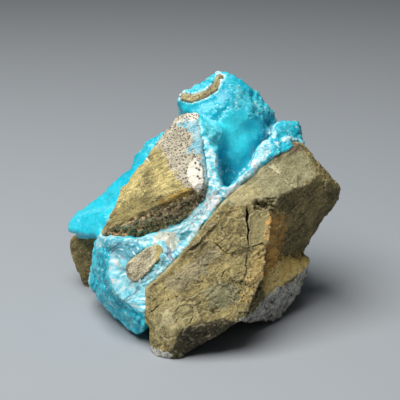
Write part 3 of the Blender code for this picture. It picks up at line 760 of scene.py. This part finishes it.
def fibrous_hemimorphite(settings):
    """Hemimorphite grown as a fibrous crust: milky blue, waxy where it grew free.

    The eye sees smooth glassy blue domes that let some light in, and where the crust is broken
    across, pale sugary fibres that stand square to the rock, with painted white glints. Painted
    light brightens the bulb, painted highlights pale the crests, and painted shade fills hollows.
    """
    material, tree = new_material("fibrous_hemimorphite")
    place = add(tree, "ShaderNodeTexCoord").outputs["Object"]
    fibre = add(tree, PAINTED, attribute_name="fibre").outputs["Vector"]
    crystals = add(tree, PAINTED, attribute_name="crystals").outputs["Fac"]
    white = add(tree, PAINTED, attribute_name="white").outputs["Fac"]
    clouds = add(tree, NOISE, {0: place, 2: 1 / (7 * MM), 3: 3, 4: 0.5})
    sugar = add(tree, NOISE, {0: place, 2: 1 / (1.1 * MM), 3: 4, 4: 0.62})
    # Fibres about 0.4 mm thick.
    threads = add(tree, NOISE, {0: fibre, 2: 1 / (0.9 * MM), 3: 3, 4: 0.6})
    grit = add(tree, MATH, {0: sugar, 1: crystals}, operation="MULTIPLY")
    free = add(tree, MATH, {0: grit, 1: 0.55, 2: clouds}, operation="MULTIPLY_ADD")
    surface = add(tree, "ShaderNodeValToRGB", {0: free})
    blue = settings.free_colour
    dark = shade(blue, 0.85)
    set_ramp(surface, [(0.4, dark), (0.56, blue), (0.8, "#3fd2e6"), (0.96, "#a4e4ea")])
    # Painted light on the bulb, the lump and the lobe, where light would shine through the crust.
    surface = washed(tree, surface, "bright", "#42e2f2", 0.9)
    # Painted highlights on crests and ridges.
    surface = washed(tree, surface, "crest", "#8fe2ee", 0.45)
    streaks = 0
    for source, share in ((threads, 0.72), (sugar, 0.28), (white, 0.16)):
        streaks = add(tree, MATH, {0: source, 1: share, 2: streaks}, operation="MULTIPLY_ADD")
    pale = add(tree, "ShaderNodeValToRGB", {0: streaks})
    middle = settings.broken_colour
    set_ramp(pale, [(0.37, "#56cae6"), (0.45, "#84e0f4"), (0.54, middle), (0.66, "#f8feff")])
    broken = frayed(tree, "broken", sugar, 0.7, 0.65, 1.05)
    surface = add(tree, MIX, {0: broken, 6: surface, 7: pale}, data_type="RGBA")
    # Painted shade in hollows and creases, and the deeper blue of clear parts.
    surface = washed(tree, surface, "deep", shade(settings.deep_colour), 1)
    for attribute, tint in (("cream", "#dcd8c0"), ("dust", "#8f93a2"), ("slit", "#2c9aa8")):
        mask = frayed(tree, attribute, sugar, 0.8, 0.9, 1.25, 0.85)
        surface = add(tree, MIX, {0: mask, 6: surface, 7: tint}, data_type="RGBA")
    # Crystals about 0.85 mm across that each lean their own way and catch the light.
    cells = add(tree, CELLS, {0: fibre, 2: 1 / (0.85 * MM)})
    hue, reach = cells.outputs["Color"], cells.outputs["Distance"]
    offset = add(tree, VECTOR_MATH, {0: fibre, 1: cells.outputs["Position"]}, operation="SUBTRACT")
    lean = add(tree, VECTOR_MATH, {0: hue, 1: (0.5, 0.5, 0.5)}, operation="SUBTRACT")
    facet = add(tree, VECTOR_MATH, {0: offset, 1: lean}, operation="DOT_PRODUCT")
    height = add(tree, MATH, {0: facet, 1: crystals}, operation="MULTIPLY")
    ripple = add(tree, MATH, {0: sugar, 1: 0.14 * MM, 2: height}, operation="MULTIPLY_ADD")
    bump = add(tree, "ShaderNodeBump", {0: 1, 1: 1, "Height": ripple})
    # Painted glints: white specks in clusters on some of the crystals, about 0.4 mm across.
    tips = add(tree, MATH, {0: hue, 1: 0.8, 2: reach}, operation="MULTIPLY_ADD")
    tips = add(tree, RANGE, {0: tips, 1: 0.58, 2: 0.48}, interpolation_type="SMOOTHSTEP")
    clusters = add(tree, RANGE, {0: threads, 1: 0.46, 2: 0.56})
    for share in (clusters, crystals):
        tips = add(tree, MATH, {0: tips, 1: share}, operation="MULTIPLY")
    surface = add(tree, MIX, {0: tips, 6: surface, 7: "#eefafb"}, data_type="RGBA")
    rough = add(tree, RANGE, {0: broken, 3: 0.32, 4: 0.44})
    mineral = add(
        tree,
        "ShaderNodeBsdfPrincipled",
        {"Base Color": surface, "Roughness": rough, "IOR": 1.62, "Normal": bump,
         "Specular IOR Level": 0.36, "Subsurface Weight": 0.4,
         "Subsurface Radius": (0.5, 1.0, 1.1), "Subsurface Scale": 1.8 * MM},
    )
    add(tree, "ShaderNodeOutputMaterial", {0: mineral})
    return material


class SPECIMEN_OT_main_rock(bpy.types.Operator):
    """Dress the large lower rock with its shoulder, ledge, cracks and knob"""

    bl_idname = "specimen.main_rock"
    bl_label = "Main rock"

    def execute(self, context):
        settings = context.scene.rock_settings
        piece = even_faces("main_rock", "olive_brown_main_rock", MAIN_FACE)
        finer_near(piece, [OPEN_CRACK, KNOB_GROOVE, STRIP_FOOT, *FINE_CRACKS], 0.8)
        finer_near(piece, [OPEN_CRACK, *FINE_CRACKS], 0.5)
        grain = grain_direction(MAIN_GRAIN)
        skin = Skin(piece)
        shoulder = skin.patch(SHOULDER)
        chip = skin.patch(PALE_CHIP, 0.5, 0.3)
        rubble = skin.patch(NOTCH_RUBBLE, 0.6, 0.6)
        break_rock(skin, settings, grain, 1 - 0.6 * np.maximum(shoulder, chip) + rubble)
        lumps = flats_at(skin.places, 1.5 * MM, seed=5)
        skin.push(rubble * lumps * 0.5 * MM - chip * 0.25 * MM)
        ledge_front = skin.patch(LEDGE_GREY)
        crumbled = flats_at(skin.places, 2.6 * MM, seed=9)
        crumbled += 0.6 * noise_at(skin.places, 1.4 * MM, seed=15)
        skin.push(ledge_front * crumbled * 0.55 * MM)
        # Cracks, the knob's groove and pits are dark; the strip's foot gets a painted shadow.
        dark = [
            skin.carve(OPEN_CRACK, 0.42, 2.2 * MM, 0.2),
            *[skin.carve(crack, 0.24, 0.5 * MM) * 0.9 for crack in FINE_CRACKS],
            skin.carve(KNOB_GROOVE, 0.6, 0.5 * MM) * 0.25,
            skin.carve(STRIP_FOOT, 0.7, 0.5 * MM) * 0.45,
            skin.spots(PITS, 0.35),
        ]
        # Painted highlight on edges, painted shade in pits and under downward faces, not on the
        # ledge's front.
        paint_relief(skin, 0.8 - 0.7 * ledge_front)
        # Painted shade on the foot's undercut, where the rock hangs over the floor.
        under_foot = softly(depth_inside(skin.wander(0.6), WEATHERED_FOOT), -0.6, 0.6)
        grains = 0.5 * softly(noise_at(skin.places, 5 * MM, seed=71), 0.1, 0.6)
        grains += 0.75 * skin.patch(SPECKLED, 1.5, 1.5) + 0.35 * ledge_front
        skin.paint(crack=np.max(dark, 0), grains=np.clip(grains, 0, 1))
        weathered = under_foot * (skin.places[:, 1] < 0)
        spots = np.maximum(skin.streak(PALE_SPOTS[:3], 0.5), skin.streak(PALE_SPOTS[3:], 0.2))
        faces = np.maximum(skin.patch(CHUNK_FACE, 1.0), skin.patch(NOTCH_TOP, 1.0))
        rust = settings.rust_colour
        coats = [
            ("band", skin.patch(GREY_BAND, 1.6, 1.5), "#6d6650", "#a39a80", 0.6),
            ("green", skin.patch(GREEN_GREY, 1.5, 1.5), "#6a7052", "#96987a", 0.6),
            ("ochre", skin.patch(OCHRE_MARGIN, 1.5, 1.5), "#a18a50", "#dabe7a", 0.75),
            ("shoulder", shoulder, "#827e5b", "#b2ad88", 0.85),
            ("chip", chip, "#8b8258", "#a99d70", 0.85),
            ("rust", skin.patch(RUST_VALLEY, 2.6, 2.5), shade(rust, 2.2), shade(rust, 5), 0.8),
            # Yellow stain on the ledge's top, lightened by painted light where it lies in shade.
            ("ledge_top", skin.patch(LEDGE_TOP, 1.5, 1.2), "#cdae5c", "#f5dc94", 0.88),
            # Painted shade on the foot's undercut.
            ("weathered", weathered, "#2f2a20", "#4a4330", 0.9),
            ("stain", skin.patch(RIM_STAIN, 0.8), "#5b3f33", "#8f7560", 0.7),
            ("spots", spots, "#c9c093", "#ded6ae", 0.8),
            # Painted light: paler where the chunk's face, the face by the notch and the knob are
            # lit.
            ("face", faces, "#9d9163", "#c9bd8b", 0.75),
            ("lit", skin.patch(KNOB_LIT, 0.6), "#bdb283", "#e8e0b8", 0.85),
            ("grey", np.maximum(ledge_front, skin.patch(FOOT_GREY)), "#aaa8a2", "#faf9f3", 0.92),
        ]
        material = broken_dolostone(skin, "olive_dolostone", settings.main_colour, grain, coats)
        skin.finish("main_rock", material)
        return {"FINISHED"}


class SPECIMEN_OT_wedge(bpy.types.Operator):
    """Dress the wedge of rock held in the crust's upper left"""

    bl_idname = "specimen.wedge"
    bl_label = "Wedge"

    def execute(self, context):
        settings = context.scene.rock_settings
        grain = grain_direction(WEDGE_GRAIN)
        skin = Skin(even_faces("wedge_rock", "ochre_and_cream_wedge", WEDGE_FACE))
        under = skin.patch(WEDGE_UNDER, 0.5, 1.2)
        cream = skin.patch(CREAM_PATCH, 0.5, 1.8)
        break_rock(skin, settings, grain, 0.85 + 0.6 * under - 0.45 * cream)
        skin.push(under * flats_at(skin.places, 1.6 * MM, seed=21) * 0.6 * MM)
        # Painted highlight on edges and painted shade in pits.
        paint_relief(skin)
        blue = skin.patch(BLUE_COAT, 1.3, 1.3)
        skin.push(skin.patch(BLUE_COAT, 1.5) * 0.25 * MM)
        white = skin.patch(WHITE_PATCH, 0.5, 0.6)
        whites = [white, skin.patch(WEDGE_TIP, 1.0) * 0.7, skin.streak(WHITE_FLECK, 0.3)]
        across, up = skin.view.T
        above_crust = softly(up + 7 - 0.25 * (across + 30), 0.6, 2.8)
        # Painted light on the upper right of the underside, which lies in shade.
        under_upper = under * np.maximum(softly(across, -16, -9), 0.8 * above_crust)
        grains = np.clip(cream * 1.1 - blue - white, 0, 0.85) + under * 0.5
        skin.paint(crack=skin.spots(BLACK_SPOTS, 0.4), grains=grains)
        coats = [
            ("dull", skin.patch(WEDGE_DULL, 1.5, 1.5), "#6e633c", "#9d8f5a", 0.85),
            ("ochre", skin.patch(WEDGE_OCHRE, 0.8, 1.2), "#7c5f1e", "#b8933a", 0.8),
            ("under", under, "#54381f", "#ffc080", 0.94),
            # Painted light on the shaded underside's upper right.
            ("under_upper", under_upper, "#6b5c3a", "#ffe6b4", 0.75),
            ("cream", cream, "#a8a08c", shade(settings.cream_colour, 1.1), 0.95),
            ("white", np.max(whites, 0), "#e6e2ce", "#fffdf4", 0.94),
            ("blue", blue, "#5fb4cc", "#b8e4ec", 0.9),
        ]
        base = settings.wedge_colour
        material = broken_dolostone(skin, "ochre_dolostone", base, grain, coats, "#40363b")
        skin.finish("wedge_rock", material)
        return {"FINISHED"}


class SPECIMEN_OT_small_rocks(bpy.types.Operator):
    """Dress the enclosed piece, the dark piece at the left and the thin sheet near the top"""

    bl_idname = "specimen.small_rocks"
    bl_label = "Small rocks"

    def execute(self, context):
        settings = context.scene.rock_settings
        grain = grain_direction(MAIN_GRAIN)
        # Of each: its face size, how rough it is, how far proud it stands and its colour.
        rows = [
            ("inclusion_rock", "grey_brown_inclusion", SMALL_FACE, 0.35, -0.25 * MM,
             settings.inclusion_colour, "grey_dolostone", "grey_brown_rock"),
            ("left_rock", "dark_olive_left_rock", LEFT_FACE, 0.7, 0,
             settings.left_colour, "dark_dolostone", "dark_olive_rock"),
            ("rock_sheet", "tan_rock_sheet", SMALL_FACE, 0.25, -0.1 * MM,
             settings.sheet_colour, "tan_dolostone", "tan_rock"),
        ]
        for node, name, face, rough, proud, base, stone, slot in rows:
            skin = Skin(even_faces(node, name, face))
            break_rock(skin, settings, grain, rough)
            skin.push(proud)
            # Painted highlight on edges and painted shade in pits.
            paint_relief(skin)
            skin.paint(grains=softly(noise_at(skin.places, 4 * MM, seed=71), 0.0, 0.6) * 0.6)
            coats = []
            if node == "inclusion_rock":
                yellow = softly(skin.view[:, 0], -17.5, -15.0)
                coats = [("yellow", yellow, "#9c8b48", "#cfbd74", 0.8)]
            skin.finish(node, broken_dolostone(skin, stone, base, grain, coats))
        return {"FINISHED"}


class SPECIMEN_OT_crust(bpy.types.Operator):
    """Grow the blue crust: domes where it grew free, fibres and crystals where it is broken"""

    bl_idname = "specimen.crust"
    bl_label = "Hemimorphite crust"

    def execute(self, context):
        settings = context.scene.crust_settings
        skin = Skin(even_faces("hemimorphite_crust", "blue_hemimorphite_crust", CRUST_FACE))
        # Where the crust is broken, sugary, or grew smooth.
        roots, growth = nearest_on(
            skin.places, "main_rock", "wedge_rock", "inclusion_rock", "left_rock", "rock_sheet"
        )
        roots = skin.blurred(roots, 12)
        band = skin.patch(LOWER_BAND, 0.3, 0.5)
        rims = np.maximum(skin.patch(RIGHT_RIM, 0.5, 0.9), skin.patch(LEFT_RIM, 0.5, 0.9))
        lump = skin.patch(LUMP, 1.0, 1.0)
        clear = skin.patch(CLEAR_RIM, 1.0)
        mottled = softly(noise_at(skin.places, 2.6 * MM, seed=51), -0.45, 0.25)
        near_sheet = 1 - softly(nearest_on(skin.places, "rock_sheet")[1], 0.7, 1.9)
        margin = 0.7 * (1 - softly(growth, 0.6, 2.0)) * np.maximum(mottled, near_sheet)
        broken = np.max([band, rims * (0.4 + 0.6 * mottled), margin], 0)
        broken *= 1 - 0.75 * np.maximum(clear, lump)
        sugary = [skin.patch(outline, 1.0, 1.2) for outline in (SUGARY_DOME, SUGARY_FOOT)]
        sugary = np.max([*sugary, lump], 0)
        smooth_lobe = skin.patch(SMOOTH_LOBE, 1.5)
        smooth_growth = np.maximum(skin.patch(SMOOTH_GROWTH, 1.5), smooth_lobe * 0.8)
        ridges = [skin.streak(line, 0.5) for line in (BULB_ARC, DOME_RIDGE, LOBE_RIDGE)]

        skin.smooth(1)
        skin.smooth(12, 1 - 0.95 * skin.blurred(broken, 2))
        skin.smooth(8, smooth_growth * (1 - sugary))
        skin.carve(BULB_ARC, 1.8, 0.45 * MM)
        skin.carve(CREVICE, 1.3, 0.8 * MM)
        skin.carve(RING_STEP, 1.2, 0.8 * MM)
        skin.smooth(60, softly(depth_inside(skin.view, SLIT), -1.4, 0.0))
        skin.push(lump * 0.5 * MM)
        skin.carve(WEDGE_SIDE, 2.6, -0.35 * MM)
        skin.carve(LOBE_RIDGE, 1.8, -0.6 * MM)

        crystals = np.max([broken, sugary, *ridges[:2]], 0)
        fibre = skin.places + (roots - skin.places) * (0.2 + 0.5 * band * broken)[:, None]
        druse = (1 - broken) * (1 - smooth_growth)
        tilted = flats_at(skin.places, settings.druse_size, seed=47)
        domes = domes_at(skin.places, settings.dome_size, seed=13)
        domes += 0.35 * domes_at(skin.places, settings.dome_size * 0.4, seed=19)
        facets = flats_at(fibre, settings.crystal_size, seed=17)
        facets += flats_at(skin.places, settings.crystal_size * 1.6, seed=43)
        swell = noise_at(skin.places, 5 * MM, seed=2)
        skin.push(
            (1 - broken) * (1 - 0.9 * smooth_growth) * (domes - 1) * settings.dome_height
            + crystals * facets * settings.crystal_height
            + druse * tilted * settings.druse_height
            + swell * 0.25 * MM
        )
        ragged = np.maximum(1 + 2.4 * noise_at(skin.places, 2.6 * MM, seed=61), 0)
        ragged *= (1 - softly(growth, 0.4, 3.0)) * settings.overgrowth
        skin.push(ragged + near_sheet * 0.3 * MM)
        near_inclusion = 1 - softly(nearest_on(skin.places, "inclusion_rock")[1], 0.6, 1.8)
        crumbs = softly(noise_at(skin.places, 1.8 * MM, seed=83), -0.1, 0.4)
        skin.push(near_inclusion * crumbs * 0.75 * MM)

        crests = skin.crests(8)
        across, up = skin.view.T
        bulb = skin.patch(BULB, 1.5)
        lobe = softly(-across, 27, 31) * softly(up, -7, -5)
        glitter = softly(noise_at(skin.places, 3 * MM, seed=37), 0.0, 0.4)
        glitter *= (1 - 0.3 * smooth_growth) * (1 - 0.6 * bulb) * (1 - 0.8 * smooth_lobe)
        border = softly(noise_at(skin.places, 2.4 * MM, seed=8), -0.2, 0.6)
        border *= 1 - softly(growth, 0.45, 1.0)
        # Where crystals give relief and carry painted glints.
        sparks = [0.18 + 0.6 * crystals, 0.95 * glitter, 0.65 * druse]
        # Painted highlights: paler on crests, the lobe's ridge, sugary patches, the lump and
        # crystal tops.
        raised = [
            0.5 * softly(crests, 0.25, 0.8), 0.6 * ridges[2], 0.2 * sugary, 0.7 * lump,
            druse * softly(tilted, 0.1, 0.7),
        ]
        # Painted shade in hollows, on the ring's step, between crystals and on the dome's right;
        # the clear rim and ring are a deeper blue of their own.
        shaded = [
            0.4 * softly(-crests, 0.15, 0.8) * (1 - bulb),
            0.8 * skin.patch(HOLLOW_SHADE, 1.0),
            0.5 * skin.patch(HOLLOW_FOOT, 2.0),
            0.5 * skin.streak(RING_STEP, 0.7),
            0.3 * clear,
            0.8 * skin.patch(CLEAR_RING, 1.2),
            0.35 * druse * softly(-tilted, 0.1, 0.7),
            0.25 * smooth_growth * softly(across, 2, 8) * (1 - bulb),
        ]
        whites = [
            near_sheet * skin.patch(SHEET_MARGIN, 1.0) * (0.1 + 0.45 * mottled),
            0.35 * rims,
            0.4 * skin.streak(BAND_MIDDLE, 2.2),
            skin.streak(WHITE_STREAK, 0.6),
            skin.streak(WHITE_JOINT, 2.0),
            skin.streak(WHITE_CORNER, 1.7),
            0.5 * border,
        ]
        skin.paint(
            broken=broken,
            fibre=fibre,
            crystals=np.clip(np.max(sparks, 0), 0, 1),
            crest=np.max(raised, 0),
            deep=np.max(shaded, 0),
            # Painted light on the lobe, the bulb and the lump.
            bright=np.max([0.3 * lobe, bulb, 0.7 * lump], 0),
            white=np.max(whites, 0),
            cream=skin.patch(CREAM_CRUMBS, 0.9, 1.3),
            dust=skin.streak(GREY_DUST, 1.0),
            slit=skin.patch(SLIT, 0.4, 0.2),
        )
        skin.finish("hemimorphite_crust", fibrous_hemimorphite(settings))
        return {"FINISHED"}


class SPECIMEN_OT_stage(bpy.types.Operator):
    """Set out the plain floor, the soft lights and the camera"""

    bl_idname = "specimen.stage"
    bl_label = "Stage"

    def execute(self, context):
        settings = context.scene.stage_settings
        scene = context.scene
        bm = bmesh.new()
        bmesh.ops.create_grid(bm, x_segments=1, y_segments=1, size=FLOOR_HALF)
        mesh = bpy.data.meshes.new("floor")
        bm.to_mesh(mesh)
        bm.free()
        floor = bpy.data.objects.new("floor", mesh)
        scene.collection.objects.link(floor)
        material, tree = new_material("matt_painted_board")
        paint = add(
            tree,
            "ShaderNodeBsdfPrincipled",
            {"Base Color": shade(settings.floor_colour), "Roughness": 0.75,
             "Specular IOR Level": 0.25},
        )
        add(tree, "ShaderNodeOutputMaterial", {0: paint})
        mesh.materials.append(material)

        key = bpy.data.lights.new("key", "AREA")
        key.energy = settings.key_power
        key.size = KEY_SIZE
        key.color = KEY_TINT
        lamp = bpy.data.objects.new("key", key)
        lamp.location = MIDDLE + KEY_TOWARD * KEY_DISTANCE
        lamp.rotation_euler = KEY_TOWARD.to_track_quat("Z", "Y").to_euler()
        scene.collection.objects.link(lamp)

        world = bpy.data.worlds.new("even light")
        world.use_nodes = True
        tree = world.node_tree
        tree.nodes.clear()
        fill = {0: SKY_TINT, 1: settings.fill_strength}
        add(tree, "ShaderNodeOutputWorld", {0: add(tree, "ShaderNodeBackground", fill)})
        scene.world = world
        scene.view_settings.view_transform = "Standard"

        camera = bpy.data.cameras.new("camera")
        camera.sensor_width = SENSOR
        camera.lens = SENSOR * EYE_DISTANCE / VIEW_WIDTH
        camera.shift_x, camera.shift_y = VIEW_SHIFT
        camera.clip_start = NEAR_CLIP
        eye = bpy.data.objects.new("camera", camera)
        eye.location = MIDDLE - AWAY * EYE_DISTANCE
        eye.rotation_euler = AWAY.to_track_quat("-Z", "Y").to_euler()
        scene.collection.objects.link(eye)
        scene.camera = eye
        return {"FINISHED"}


class SPECIMEN_PT_panel(bpy.types.Panel):
    """The specimen's sizes, colours and steps"""

    bl_label = "Hemimorphite specimen"
    bl_space_type = "VIEW_3D"
    bl_region_type = "UI"
    bl_category = "Specimen"

    def draw(self, context):
        for step in STEPS:
            self.layout.operator(step.bl_idname)
        for group in SETTINGS:
            settings = getattr(context.scene, group)
            box = self.layout.box()
            for name in type(settings).__annotations__:
                box.prop(settings, name)


STEPS = (
    SPECIMEN_OT_main_rock,
    SPECIMEN_OT_wedge,
    SPECIMEN_OT_small_rocks,
    SPECIMEN_OT_crust,
    SPECIMEN_OT_stage,
)
SETTINGS = {
    "rock_settings": RockSettings,
    "crust_settings": CrustSettings,
    "stage_settings": StageSettings,
}
CLASSES = (*SETTINGS.values(), *STEPS, SPECIMEN_PT_panel)


def register():
    """Registers the classes and gives the scene its settings."""
    for made in CLASSES:
        bpy.utils.register_class(made)
    for name, group in SETTINGS.items():
        setattr(bpy.types.Scene, name, PointerProperty(type=group))


def unregister():
    """Takes the settings and the classes away again."""
    for name in SETTINGS:
        delattr(bpy.types.Scene, name)
    for made in reversed(CLASSES):
        bpy.utils.unregister_class(made)


def main():
    """Makes every piece and the stage."""
    register()
    bpy.ops.specimen.main_rock()
    bpy.ops.specimen.wedge()
    bpy.ops.specimen.small_rocks()
    bpy.ops.specimen.crust()
    bpy.ops.specimen.stage()


if __name__ == "__main__":
    main()
